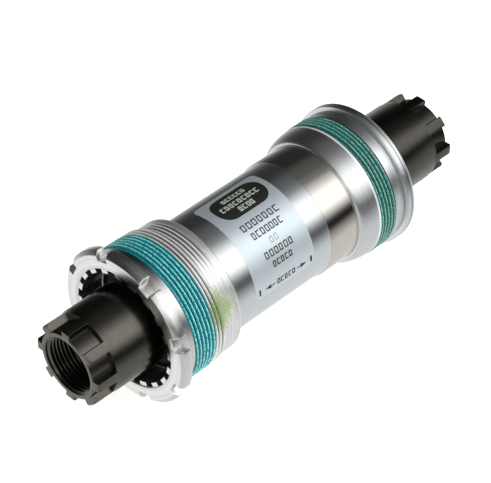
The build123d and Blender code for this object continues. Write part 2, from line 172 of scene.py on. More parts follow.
def lathe(bm, outline, closed=True, steps=SEGMENTS):
    """Turns an outline once round the axis."""
    verts = [bm.verts.new((radius, y, 0)) for radius, y in outline]
    ends = verts[1:] + verts[:1] if closed else verts[1:]
    edges = [bm.edges.new(pair) for pair in zip(verts, ends)]
    bmesh.ops.spin(
        bm, geom=verts + edges, axis=SPIN_AXIS, angle=math.tau, steps=steps, use_merge=True
    )


def sink(bm, chosen, radius):
    """Moves the chosen faces to one radius, with walls left round them."""
    faces = [face for face in bm.faces if chosen(face)]
    grown = bmesh.ops.extrude_face_region(bm, geom=faces)["geom"]
    for vert in grown:
        if isinstance(vert, bmesh.types.BMVert):
            set_radius(vert, radius)
    left = [face for face in faces if face.is_valid]
    if left:
        bmesh.ops.delete(bm, geom=left, context="FACES")
    tidy_mesh(bm)


def in_sectors(angle, count, first, width):
    """True inside any of count equal sectors, the first centred on an angle."""
    pitch = 360.0 / count
    return abs((angle - first + pitch / 2) % pitch - pitch / 2) < width / 2


def sector_faces(count, first, width, r_low, r_high, y_low, y_high):
    """Test for faces in equal sectors and in a band of radius and Y."""
    def chosen(face):
        centre = face.calc_center_median()
        return (
            r_low < radius_of(centre) < r_high
            and y_low < centre.y < y_high
            and in_sectors(angle_of(centre), count, first, width)
        )
    return chosen


def break_edges(bm, width):
    """Bevels every sharp edge."""
    sharp = [
        edge for edge in bm.edges if len(edge.link_faces) == 2 and edge.calc_face_angle() > math.radians(28)
    ]
    bmesh.ops.bevel(
        bm, geom=sharp, offset=width, offset_type="OFFSET", segments=2, profile=0.5,
        affect="EDGES", material=-1, clamp_overlap=False,
    )


class Thread:
    """Right-hand 60 degree thread. Its root and crest are radii; it runs out at low and high."""

    def __init__(self, root, crest, pitch, low, high, crest_flat=0.12, root_flat=0.12, run_out=1.4):
        self.root, self.crest, self.pitch, self.low, self.high = root, crest, pitch, low, high
        self.half_crest, self.half_foot = crest_flat / 2, (pitch - root_flat) / 2
        self.run_out = run_out

    def radius_at(self, radius, y):
        height = min(y - self.low, self.high - y) * self.run_out
        rise = max(0.0, min(abs(radius - self.root), height))
        return self.root + math.copysign(rise, self.crest - self.root)


def wind(bm, thread, low, high, lift=0.0, wave=0.0, steps=SEGMENTS):
    """Adds the thread's surface between low and high, moved out by lift."""
    before = set(bm.verts)
    top = thread.high + thread.pitch
    turns = math.ceil((thread.high - thread.low) / thread.pitch) + 2
    corners = (
        (thread.root, thread.half_foot), (thread.crest, thread.half_crest),
        (thread.crest, -thread.half_crest), (thread.root, -thread.half_foot),
    )
    verts = [
        bm.verts.new((radius, top - turn * thread.pitch + offset, 0))
        for turn in range(turns + 1) for radius, offset in corners
    ]
    edges = [bm.edges.new(pair) for pair in zip(verts, verts[1:])]
    bmesh.ops.spin(
        bm, geom=verts + edges, axis=SPIN_AXIS, dvec=(0, -thread.pitch / steps, 0),
        angle=math.tau, steps=steps,
    )
    added = [vert for vert in bm.verts if vert not in before]
    bmesh.ops.remove_doubles(bm, verts=added, dist=0.003)
    for vert in bm.verts:
        if vert not in before:
            ripple = wave * noise.noise(vert.co * 1.7) if wave else 0.0
            set_radius(vert, thread.radius_at(radius_of(vert.co), vert.co.y) + lift + ripple)
    for y, side in ((low, -1), (high, 1)):
        added = [vert for vert in bm.verts if vert not in before]
        edges = {edge for vert in added for edge in vert.link_edges}
        faces = {face for vert in added for face in vert.link_faces}
        bmesh.ops.bisect_plane(
            bm, geom=[*added, *edges, *faces], dist=1e-5, plane_co=(0, y, 0),
            plane_no=(0, side, 0), clear_outer=True,
        )
    added = [vert for vert in bm.verts if vert not in before]
    for vert in added:
        at_end = min(abs(vert.co.y - thread.low), abs(vert.co.y - thread.high)) < 1e-3
        if at_end and vert.is_boundary:
            set_radius(vert, thread.root + lift)


def join_rings(bm, y):
    """Bridges the two open rings that lie at y."""
    rim = [
        edge for edge in bm.edges
        if edge.is_boundary and all(abs(vert.co.y - y) < 2 * RING_GAP for vert in edge.verts)
    ]
    bmesh.ops.bridge_loops(bm, edges=rim)


def patch(bm, radius, thickness, y_low, y_high, start, end, corner=0.0, slice_angle=3.0):
    """Thin sheet with rounded corners, wrapped round the axis between two angles."""
    before = set(bm.verts)
    arc = math.radians(end - start) * radius
    bmesh.ops.create_grid(bm, x_segments=1, y_segments=1, size=0.5, matrix=Matrix.Translation((0.5, 0.5, 0)))
    verts = [vert for vert in bm.verts if vert not in before]
    bmesh.ops.scale(bm, verts=verts, vec=(arc, y_high - y_low, 1))
    bmesh.ops.translate(bm, verts=verts, vec=(0, y_low, 0))
    if corner:
        bmesh.ops.bevel(
            bm, geom=verts, offset=corner, offset_type="OFFSET", segments=6, profile=0.5,
            affect="VERTICES", material=-1,
        )
    wrap(bm, before, radius, thickness, start, arc, slice_angle)


def arrow_head(bm, radius, thickness, y, angle, size, direction):
    """Flat triangular arrow head, wrapped round the axis, its tip at y."""
    before = set(bm.verts)
    bmesh.ops.create_circle(bm, segments=3, radius=1.0, cap_ends=True)
    verts = [vert for vert in bm.verts if vert not in before]
    tip = max(verts, key=lambda vert: vert.co.y)
    base = min(vert.co.y for vert in verts)
    bmesh.ops.translate(bm, verts=verts, vec=(0, -tip.co.y, 0))
    bmesh.ops.scale(bm, verts=verts, vec=(0.32 * size, direction * size / (1 - base), 1))
    bmesh.ops.translate(bm, verts=verts, vec=(0, y, 0))
    wrap(bm, before, radius, thickness, angle, 0.0, 3.0)


def wrap(bm, before, radius, thickness, start, arc, slice_angle):
    """Slices new flat faces and lays them on the cylinder: x becomes arc, y stays."""
    width = math.radians(slice_angle) * radius
    for number in range(1, math.ceil(arc / width)):
        faces = {face for vert in bm.verts if vert not in before for face in vert.link_faces}
        edges = {edge for face in faces for edge in face.edges}
        verts = {vert for face in faces for vert in face.verts}
        bmesh.ops.bisect_plane(
            bm, geom=[*verts, *edges, *faces], dist=1e-4, plane_co=(number * width, 0, 0), plane_no=(1, 0, 0)
        )
    verts = [vert for vert in bm.verts if vert not in before]
    for vert in verts:
        turn = math.radians(start) + vert.co.x / radius
        vert.co = Vector((radius * math.cos(turn), vert.co.y, radius * math.sin(turn)))
    faces = {face for vert in verts for face in vert.link_faces}
    edges = {edge for face in faces for edge in face.edges}
    grown = bmesh.ops.extrude_face_region(bm, geom=[*verts, *edges, *faces], use_keep_orig=True)["geom"]
    for vert in grown:
        if isinstance(vert, bmesh.types.BMVert):
            set_radius(vert, radius + thickness)


def piece(name, bm, material, body, slot, *nodes, smooth_angle=32.0):
    """Makes a closed, metre-scale object of the mesh; it rides on a body and replaces CAD nodes."""
    tidy_mesh(bm)
    bmesh.ops.recalc_face_normals(bm, faces=bm.faces[:])
    open_edges = sum(1 for edge in bm.edges if not edge.is_manifold)
    if open_edges:
        raise RuntimeError(f"{name} has {open_edges} edges that don't join two faces")
    if bm.calc_volume(signed=True) < 0:
        bmesh.ops.reverse_faces(bm, faces=bm.faces[:])
    bmesh.ops.scale(bm, verts=bm.verts[:], vec=(MM, MM, MM))
    mesh = bpy.data.meshes.new(name)
    bm.to_mesh(mesh)
    bm.free()
    mesh.shade_smooth()
    mesh.set_sharp_from_angle(angle=math.radians(smooth_angle))
    mesh.materials.append(material)
    new = bpy.data.objects.new(name, mesh)
    bpy.context.scene.collection.objects.link(new)
    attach(new, body)
    if nodes:
        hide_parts(*nodes)
    return new


# --- Material tools ----------------------------------------------------------------------


def connect(tree, target, value):
    """Gives an input socket a value, or a link from another socket."""
    if isinstance(value, bpy.types.NodeSocket):
        tree.links.new(value, target)
    else:
        target.default_value = value


def add(tree, kind, inputs=None, output=0, stops=(), **settings):
    """Adds a node and returns one of its outputs; inputs are values or sockets, stops are a ramp's."""
    node = tree.nodes.new("ShaderNode" + kind)
    for key, value in settings.items():
        setattr(node, key, value)
    for key, value in (inputs or {}).items():
        connect(tree, node.inputs[key], value)
    if stops:
        elements = node.color_ramp.elements
        while len(elements) < len(stops):
            elements.new(0.5)
        for element, (place, tone) in zip(elements, stops):
            element.position = place
            element.color = tone
    return node.outputs[output] if node.outputs else None


def start_material(name):
    """New material with its shader and the places that patterns read, in millimetres."""
    material = bpy.data.materials.new(name)
    material.use_nodes = True
    tree = material.node_tree
    tree.nodes.clear()
    surface = add(tree, "BsdfPrincipled")
    add(tree, "OutputMaterial", {"Surface": surface})
    metres = add(tree, "TexCoord", output="Object")
    point = add(tree, "VectorMath", {0: metres, "Scale": 1 / MM}, operation="SCALE")
    x, y, z = add(tree, "SeparateXYZ", {0: point}).node.outputs
    x_squared = add(tree, "Math", {0: x, 1: x}, operation="MULTIPLY")
    squares = add(tree, "Math", {0: z, 1: z, 2: x_squared}, operation="MULTIPLY_ADD")
    place = {
        "point": point,
        "y": y,
        "radius": add(tree, "Math", {0: squares}, operation="SQRT"),
        "angle": add(tree, "Math", {0: z, 1: x}, operation="ARCTAN2"),
    }
    return material, tree, surface.node.inputs, place


def speckle(tree, place, size, detail=2.0):
    """Noise from 0 to 1 with features of a size in millimetres."""
    return add(tree, "TexNoise", {"Vector": place["point"], "Scale": 1 / size, "Detail": detail})


def tool_marks(tree, place, pitch):
    """Noise that runs round the axis in rings of a pitch, on cylinders and on faces."""
    along = add(tree, "Math", {0: place["radius"], 1: 0.8, 2: place["y"]}, operation="MULTIPLY_ADD")
    return add(tree, "TexNoise", {"W": along, "Scale": 1 / pitch, "Detail": 3.0}, noise_dimensions="1D")


def all_of(tree, *masks):
    """Product of masks from 0 to 1."""
    product = masks[0]
    for mask in masks[1:]:
        product = add(tree, "Math", {0: product, 1: mask}, operation="MULTIPLY")
    return product


def away(tree, value, centre):
    """Distance of a value from a centre."""
    difference = add(tree, "Math", {0: value, 1: centre}, operation="SUBTRACT")
    return add(tree, "Math", {0: difference}, operation="ABSOLUTE")


def facing(tree, place, degrees):
    """Cosine of the angle between a point and a direction round the axis."""
    turn = add(tree, "Math", {0: place["angle"], 1: math.radians(degrees)}, operation="SUBTRACT")
    return add(tree, "Math", {0: turn}, operation="COSINE")


def paint(tree, shader, mask, tone):
    """Lays a colour over the material's base colour where a mask is 1."""
    under = shader["Base Color"].links[0].from_socket
    mixed = add(tree, "Mix", {0: mask, 6: under, 7: tone}, output=2, data_type="RGBA")
    connect(tree, shader["Base Color"], mixed)


def scaled(tone, factor, lift=0.0):
    """A colour made darker or lighter."""
    return [min(1.0, channel * factor + lift) for channel in tone[:3]] + [1.0]


def mottled(name, tone, other, grain_size, detail):
    """New material whose base colour wanders between two tones in grains of a size."""
    material, tree, shader, place = start_material(name)
    grain = speckle(tree, place, grain_size, detail)
    mixed = add(tree, "Mix", {0: grain, 6: other, 7: tone}, output=2, data_type="RGBA")
    connect(tree, shader["Base Color"], mixed)
    return material, tree, shader, place, grain


def spread(tree, shader, name, value, low, high):
    """Drives a shader input between two numbers by a value from 0 to 1."""
    connect(tree, shader[name], add(tree, "MapRange", {0: value, 3: low, 4: high}))


def roughen(tree, shader, height, millimetres):
    """Bumps the surface by a height from 0 to 1 and a depth."""
    connect(tree, shader["Normal"], add(tree, "Bump", {"Height": height, "Distance": millimetres * MM}))


def turned_metal(name, tone, roughness, ring_pitch, ring_depth, mottle=0.06, lines=0.0):
    """Metal with rings of tool marks, darkened by lines: highlights stretch round the axis."""
    material, tree, shader, place, cloud = mottled(name, tone, scaled(tone, 1 - mottle), 1.6, 4.0)
    marks = tool_marks(tree, place, ring_pitch)
    paint(tree, shader, add(tree, "MapRange", {0: marks, 1: 0.52, 2: 0.36}), scaled(tone, 1 - lines))
    shader["Metallic"].default_value = 1.0
    spread(tree, shader, "Roughness", cloud, roughness * 0.85, roughness * 1.15)
    roughen(tree, shader, marks, ring_depth)
    return material, tree, shader, place


def black_oxide_steel(tone):
    """Black conversion coating on ground steel: near black with soft grey highlights."""
    material, tree, shader, place = turned_metal("black_oxide_steel", tone, 0.23, 0.35, 0.0012, 0.25)
    # Painted shade: the drive end is darker, where the cup shades it and the softbox ends.
    drive_end_shade = add(tree, "MapRange", {0: place["y"], 1: 0.0, 2: -30.0, 3: 0.0, 4: 0.4})
    paint(tree, shader, drive_end_shade, srgb("#0a0a09"))
    return material


def satin_steel(tone):
    """Fine-ground cover tube: soft-edged reflections with a slight blue cast."""
    return turned_metal("satin_steel", tone, 0.25, 0.12, 0.0006, 0.03)[0]


def polished_steel(tone):
    """Polished bearing housing: mirror reflections with a faint warm cast."""
    return turned_metal("polished_steel", tone, 0.05, 0.25, 0.0001, 0.02)[0]


def zinc_plated_steel(tone):
    """Bright zinc over a turned cup: silvery, with fine turned rings."""
    material, tree, shader, place = turned_metal("zinc_plated_steel", tone, 0.30, 0.42, 0.002, 0.08, 0.12)
    # A pale line beside the sealant, partly a bare crest ring and partly painted highlight, and a dark one
    # round the rim.
    beside = away(tree, place["y"], DRIVE_BAND_HIGH + 0.35)
    connect(tree, shader["Metallic"], add(tree, "MapRange", {0: beside, 1: 0.35, 2: 0.15, 3: 1.0, 4: 0.45}))
    from_line = away(tree, place["y"], CUP_END + 1.3)
    paint(tree, shader, add(tree, "MapRange", {0: from_line, 1: 0.3, 2: 0.1, 4: 0.6}), srgb("#4a4f52"))
    return material


def machined_aluminium(tone, smear):
    """Bright turned aluminium: painted shade in the mouth, darker in the grooves of the thread, worn and
    stained on the land.
    """
    material, tree, shader, place = turned_metal("machined_aluminium", tone, 0.28, 0.40, 0.003, 0.05, 0.22)
    y, radius, angle = place["y"], place["radius"], place["angle"]
    dark_tone = srgb("#33322e")

    # Painted shade: dark all round deep in the mouth, and on the upper side up to its edge.
    below_edge = add(tree, "Math", {0: y, 1: ADAPTER_FACE - 0.34}, operation="LESS_THAN")
    in_valleys = add(tree, "Math", {0: radius, 1: TOOL_ROOT + 0.05}, operation="LESS_THAN")
    in_mouth = add(tree, "Math", {0: radius, 1: TOOL_ROOT + 0.28}, operation="LESS_THAN")
    upper = add(tree, "MapRange", {0: facing(tree, place, 130), 1: 0.5, 2: 0.75})
    deep, edge = all_of(tree, in_valleys, below_edge), all_of(tree, in_mouth, upper)
    mouth_shade = all_of(tree, add(tree, "Math", {0: deep, 1: edge}, operation="MAXIMUM"), 0.97)
    paint(tree, shader, mouth_shade, srgb("#14110d"))

    # Darker in the grooves of the thread, and pale crests.
    above_land = add(tree, "Math", {0: y, 1: LAND_TOP + 0.1}, operation="GREATER_THAN")
    below_neck = add(tree, "Math", {0: y, 1: LEFT_THREAD_TOP - 0.1}, operation="LESS_THAN")
    threaded = all_of(tree, above_land, below_neck)
    low = add(tree, "MapRange", {0: radius, 1: ROOT_R + 0.45, 2: ROOT_R + 0.1})
    paint(tree, shader, all_of(tree, low, threaded, 0.7), dark_tone)
    crests = all_of(tree, add(tree, "MapRange", {0: radius, 1: CREST_R - 0.2, 2: CREST_R - 0.05}), threaded)

    # Traces of the thread on the land, worn off on one side.
    phase = add(tree, "Math", {0: y, 1: math.tau / SHELL_PITCH, 2: angle}, operation="MULTIPLY_ADD")
    helix = add(tree, "Math", {0: phase}, operation="SINE")
    unworn = add(tree, "MapRange", {0: facing(tree, place, 165), 1: 0.6, 2: 0.85, 3: 1.0, 4: 0.08})
    below_thread = add(tree, "MapRange", {0: y, 1: LAND_TOP + 0.1, 2: LAND_TOP - 0.1})
    past_groove = add(tree, "Math", {0: y, 1: ADAPTER_END + 2.3}, operation="GREATER_THAN")
    traces = all_of(tree, unworn, below_thread, past_groove)
    dark_trace = add(tree, "MapRange", {0: helix, 1: 0.1, 2: -0.7, 4: 0.6})
    paint(tree, shader, all_of(tree, traces, dark_trace), dark_tone)
    pale = all_of(tree, traces, add(tree, "MapRange", {0: helix, 1: 0.5, 2: 0.9, 4: 0.45}))

    # Blue stain on the neck beside the sealant.
    beside = add(tree, "MapRange", {0: away(tree, angle, math.radians(84)), 1: 0.55, 2: 0.25, 4: 0.8})
    near_band = add(tree, "MapRange", {0: y, 1: LEFT_THREAD_TOP + 1.8, 2: LEFT_THREAD_TOP + 0.6})
    past_band = add(tree, "Math", {0: y, 1: LEFT_THREAD_TOP - 0.6}, operation="GREATER_THAN")
    paint(tree, shader, all_of(tree, beside, near_band, past_band), srgb("#2f8fa8"))

    # Dried smear on the land, with a ragged edge.
    around = all_of(tree, away(tree, angle, math.radians(158)), 2.1)
    reach = add(tree, "Math", {0: away(tree, y, 27.0), 1: 0.15, 2: around}, operation="MULTIPLY_ADD")
    ragged = add(tree, "Math", {0: speckle(tree, place, 0.5, 6.0), 1: 1.2, 2: -0.6}, operation="MULTIPLY_ADD")
    edge_place = add(tree, "Math", {0: reach, 1: ragged}, operation="ADD")
    fade = {0: edge_place, 1: 1.05, 2: 0.35, 4: 0.8}
    smeared = add(tree, "MapRange", fade, interpolation_type="SMOOTHSTEP")
    paint(tree, shader, smeared, smear)

    # The land is a little duller; painted shade, traces and smear hide the metal.
    dull = add(tree, "MapRange", {0: y, 1: LEFT_BAND_LOW + 0.4, 2: LEFT_BAND_LOW - 0.2})
    land = add(tree, "Math", {0: dull, 1: -0.12, 2: 1.0}, operation="MULTIPLY_ADD")
    bright = add(tree, "Math", {0: crests, 1: -0.6, 2: land}, operation="MULTIPLY_ADD")
    clean = [add(tree, "Math", {0: 1.0, 1: mask}, operation="SUBTRACT") for mask in (pale, mouth_shade, smeared)]
    connect(tree, shader["Metallic"], all_of(tree, bright, *clean))
    satin = shader["Roughness"].links[0].from_socket
    rougher = add(tree, "Math", {0: dull, 1: 0.03, 2: satin}, operation="MULTIPLY_ADD")
    connect(tree, shader["Roughness"], rougher)
    return material


def thread_sealant(name, tone, crest_and_highlight_tone, root, crest):
    """Dried granular sealant: deep teal in the grooves; pale on the crests, partly thin film and partly
    painted highlight.
    """
    material, tree, shader, place = start_material(name)
    height = add(tree, "MapRange", {0: place["radius"], 1: root, 2: crest})
    grain = speckle(tree, place, 0.35, 4.0)
    uneven = add(tree, "Math", {0: grain, 1: 1.5, 2: -0.75}, operation="MULTIPLY_ADD")
    worn = add(tree, "Math", {0: height, 1: uneven}, operation="ADD")
    # Lighter towards the crests: partly thinner sealant, partly painted highlight.
    stops = [(0.0, scaled(tone, 0.25)), (0.5, tone), (0.8, tone), (1.0, crest_and_highlight_tone)]
    connect(tree, shader["Base Color"], add(tree, "ValToRGB", {"Fac": worn}, stops=stops))
    spread(tree, shader, "Roughness", grain, 0.22, 0.5)
    roughen(tree, shader, grain, 0.06)
    return material


def label_film(tone):
    """Silver sticker film: mostly metallic, so it glows evenly and still takes the highlight."""
    material, tree, shader, place, grain = mottled("label_film", scaled(tone, 1.08), tone, 0.12, 2.0)
    shader["Metallic"].default_value = 0.74
    spread(tree, shader, "Roughness", grain, 0.36, 0.46)
    roughen(tree, shader, speckle(tree, place, 2.5, 1.0), 0.01)
    return material


def printing_ink(name, tone):
    """Screen-printed ink: flat colour with slight pinholes and a low sheen."""
    material, tree, shader, _, grain = mottled(name, scaled(tone, 1.5, 0.01), tone, 0.15, 3.0)
    spread(tree, shader, "Roughness", grain, 0.38, 0.55)
    return material


def moulded(name, tone, roughness, grain_size, depth):
    """Moulded rubber or plastic: fine orange peel that breaks up the sheen."""
    material, tree, shader, _, grain = mottled(name, scaled(tone, 1.25, 0.004), tone, grain_size, 3.0)
    spread(tree, shader, "Roughness", grain, roughness - 0.08, roughness + 0.08)
    roughen(tree, shader, grain, depth)
    return material


def studio_floor(tone):
    """Pale paper: faint fibres keep it from being one flat tone."""
    material, tree, shader, _, _ = mottled("studio_floor", tone, scaled(tone, 0.985), 3.0, 5.0)
    shader["Roughness"].default_value = 0.9
    shader["Specular IOR Level"].default_value = 0.0
    connect(tree, shader["Emission Color"], shader["Base Color"].links[0].from_socket)
    shader["Emission Strength"].default_value = 0.72
    return material


# --- Pieces ------------------------------------------------------------------------------


def sizes():
    """The size properties in millimetres, and the counts as they are."""
    group = bpy.context.scene.bracket_sizes
    values = {}
    for key in BracketSizes.__annotations__:
        value = getattr(group, key)
        values[key] = value / MM if isinstance(value, float) else value
    return values


def colours(name):
    return tuple(getattr(bpy.context.scene.bracket_colours, name))


SPINDLE_R, _, SPINDLE_END = span("spindle")
TUBE_BORE = span("race_spacer")[0] + 0.05
HOUSING_R, HOUSING_END, SPIGOT_END = span("bearing_housing")
TUBE_R = TUBE_BORE + 0.8
_, TUBE_DRIVE_END, TUBE_LEFT_END = span("cartridge_tube")
FLANGE_R, ADAPTER_END, ADAPTER_FACE = span("left_adapter")
RIM_R, CUP_END, CUP_FRONT = span("drive_cup")
CREST_R = span("left_sealant_band")[0] - 0.05
_, LEFT_BAND_LOW, LEFT_THREAD_TOP = span("left_sealant_band")
_, DRIVE_BAND_LOW, DRIVE_BAND_HIGH = span("drive_sealant_band")
ROOT_R = CREST_R - 0.65
_, LABEL_LOW, LABEL_HIGH = span("label")
TOOL_ROOT = TUBE_R + 0.35
TOOL_TIP = TOOL_ROOT - 1.05
RIM_FACE = CUP_END + 2.6
LAND_TOP = LEFT_BAND_LOW - 3 * SHELL_PITCH


class BRACKET_OT_spindle(bpy.types.Operator):
    """Build the hollow splined spindle with its bolt threads"""

    bl_idname = "bracket.spindle"
    bl_label = "Spindle"

    def execute(self, context):
        size = sizes()
        minor, major, bore = 7.0, 7.55, SPINDLE_R - 2.7
        floor_r, head_r = 8.65, SPINDLE_R - 0.2
        thread_low, thread_high = SPINDLE_END - 16.0, SPINDLE_END - 0.08
        head_low, pocket_low = SPINDLE_END - 6.6, SPINDLE_END - 5.6
        half = [
            (bore, thread_low - 1.0),
            (major, thread_low - RING_GAP),
            None,
            (major, thread_high + RING_GAP),
            (major + 0.05, SPINDLE_END),
            (floor_r, SPINDLE_END),
            (head_r - 0.45, SPINDLE_END),
            (head_r, SPINDLE_END - 0.45),
            (head_r, pocket_low),
            (head_r, head_low),
            (SPINDLE_R, head_low - 0.4),
        ]
        groove = []
        for centre in (span("left_balls"), span("drive_balls")):
            middle = (centre[1] + centre[2]) / 2
            groove.append([
                (SPINDLE_R - 0.5 * math.cos(step * math.pi / 12), middle - step * 1.18 / 6)
                for step in range(-6, 7)
            ])
        bm = bmesh.new()
        outside = half[3:] + groove[0] + groove[1] + [(r, -y) for r, y in reversed(half[3:])]
        inside = [(r, y) for r, y in half[:2]]
        inside = [(r, -y) for r, y in reversed(inside)] + inside
        lathe(bm, outside, closed=False)
        lathe(bm, inside, closed=False)
        tidy_mesh(bm)
        pitch = 360.0 / size["ribs"]
        for side in (1, -1):
            low, high = sorted((side * pocket_low, side * (SPINDLE_END + 1)))
            pockets = sector_faces(
                size["ribs"], pitch / 2, pitch - RIB_ANGLE, floor_r, head_r + 1, low, high
            )
            sink(bm, pockets, floor_r)
        break_edges(bm, size["edge_break"])
        for side in (1, -1):
            low, high = sorted((side * thread_low, side * thread_high))
            thread = Thread(major, minor, size["bolt_pitch"], low, high, run_out=1.0)
            wind(bm, thread, low, high, steps=120)
            join_rings(bm, low)
            join_rings(bm, high)
        material = black_oxide_steel(colours("oxide"))
        piece("spindle_detail", bm, material, "spindle", "black_oxide_steel", "spindle")
        return {"FINISHED"}


class BRACKET_OT_left_adapter(bpy.types.Operator):
    """Build the threaded left adapter with its notched flange and tool teeth"""

    bl_idname = "bracket.left_adapter"
    bl_label = "Left adapter"

    def execute(self, context):
        size = sizes()
        bore, seat = TUBE_R + 0.05, TUBE_LEFT_END + 0.05
        land, groove_y = CREST_R - 0.6, ADAPTER_END + 5.8 / 3
        neck, notch_floor, flange_back = CREST_R - 0.35, CREST_R - 0.3, ADAPTER_FACE - 2.8
        face_r = TOOL_ROOT + 3.55
        bm = bmesh.new()
        lathe(bm, [
            (land, LAND_TOP - RING_GAP),
            (land, groove_y + 0.25), (land - 0.25, groove_y), (land, groove_y - 0.25),
            (land, ADAPTER_END + 0.5), (land - 0.5, ADAPTER_END),
            (bore, ADAPTER_END), (bore, seat), (TOOL_TIP, seat),
            (TOOL_TIP, ADAPTER_FACE - 0.3), (TOOL_ROOT, ADAPTER_FACE - 0.3),
            (TOOL_ROOT + 0.3, ADAPTER_FACE), (notch_floor, ADAPTER_FACE), (face_r, ADAPTER_FACE),
            (FLANGE_R, ADAPTER_FACE - 1.0),
            (FLANGE_R, flange_back), (notch_floor, flange_back), (neck, flange_back),
            (neck, LEFT_THREAD_TOP + RING_GAP),
        ], closed=False)
        notches = sector_faces(
            size["notches"], NOTCH_FIRST, NOTCH_ANGLE, notch_floor, FLANGE_R + 1,
            flange_back - 0.1, ADAPTER_FACE + 0.1
        )
        sink(bm, notches, notch_floor)
        valleys = sector_faces(
            size["teeth"], 4.5, 180 / size["teeth"], TOOL_TIP - 0.1, TOOL_ROOT, seat - 0.1, ADAPTER_FACE - 0.2
        )
        sink(bm, valleys, TOOL_ROOT)
        break_edges(bm, size["edge_break"])
        thread = Thread(ROOT_R, CREST_R, size["pitch"], LAND_TOP, LEFT_THREAD_TOP)
        wind(bm, thread, thread.low, thread.high)
        join_rings(bm, thread.low)
        join_rings(bm, thread.high)
        material = machined_aluminium(colours("aluminium"), colours("smear"))
        piece("left_adapter_detail", bm, material, "left_adapter", "machined_aluminium", "left_adapter")

        bm = bmesh.new()
        coat(bm, thread, LEFT_BAND_LOW, LEFT_THREAD_TOP - 0.1, size)
        material = thread_sealant(
            "left_thread_sealant", colours("left_sealant"), colours("left_crest_and_highlight"), ROOT_R, CREST_R
        )
        piece("left_sealant_detail", bm, material, "left_adapter", "thread_sealant", "left_sealant_band")
        return {"FINISHED"}


def coat(bm, thread, low, high, size):
    """Closed film of sealant over part of a thread, a little uneven."""
    wind(bm, thread, low, high, lift=0.004)
    wind(bm, thread, low, high, lift=size["film"] - WAVE, wave=WAVE)
    join_rings(bm, low)
    join_rings(bm, high)


class BRACKET_OT_drive_cup(bpy.types.Operator):
    """Build the fixed drive cup with its thread, groove, rim and tool teeth"""

    bl_idname = "bracket.drive_cup"
    bl_label = "Drive cup"

    def execute(self, context):
        size = sizes()
        neck, neck_y, round_r = CREST_R - 0.175, RIM_FACE + 0.6, 0.8
        lip = HOUSING_R + 0.35
        rise, run = ROOT_R + 0.52 - lip, 5.9
        quarter = [math.radians(turn) for turn in range(0, 91, 5)]
        shoulder = [
            (lip + rise * math.sin(turn), CUP_FRONT - run * (1 - math.cos(turn))) for turn in quarter
        ]
        shoulder[-1] = (shoulder[-1][0], DRIVE_BAND_HIGH + RING_GAP)
        rim_round = [
            (RIM_R - round_r * (1 - math.cos(turn)), CUP_END + round_r * (1 - math.sin(turn)))
            for turn in quarter[::3]
        ]
        inner_end = HOUSING_END - 0.05
        bm = bmesh.new()
        lathe(bm, [
            (neck, DRIVE_BAND_LOW - RING_GAP),
            (neck, neck_y), (neck - 0.8, neck_y), (neck - 0.8, RIM_FACE), (RIM_R, RIM_FACE),
            *rim_round,
            (TOOL_ROOT + 0.3, CUP_END), (TOOL_ROOT, CUP_END + 0.3), (TOOL_TIP, CUP_END + 0.3),
            (TOOL_TIP, inner_end), (HOUSING_R, inner_end), (HOUSING_R, CUP_FRONT),
            *shoulder,
        ], closed=False)
        valleys = sector_faces(
            size["teeth"], 4.5, 180 / size["teeth"], TOOL_TIP - 0.1, TOOL_ROOT, CUP_END + 0.2, inner_end - 0.2
        )
        sink(bm, valleys, TOOL_ROOT)
        break_edges(bm, size["edge_break"])
        thread = Thread(ROOT_R, CREST_R, size["pitch"], DRIVE_BAND_LOW, DRIVE_BAND_HIGH)
        wind(bm, thread, thread.low, thread.high)
        join_rings(bm, thread.low)
        join_rings(bm, thread.high)
        material = zinc_plated_steel(colours("zinc"))
        piece("drive_cup_detail", bm, material, "cartridge", "zinc_plated_steel", "drive_cup")

        bm = bmesh.new()
        coat(bm, thread, DRIVE_BAND_LOW + 0.05, DRIVE_BAND_HIGH - 0.05, size)
        material = thread_sealant(
            "drive_thread_sealant", colours("drive_sealant"), colours("drive_crest_and_highlight"), ROOT_R, CREST_R
        )
        piece("drive_sealant_detail", bm, material, "cartridge", "thread_sealant", "drive_sealant_band")
        return {"FINISHED"}


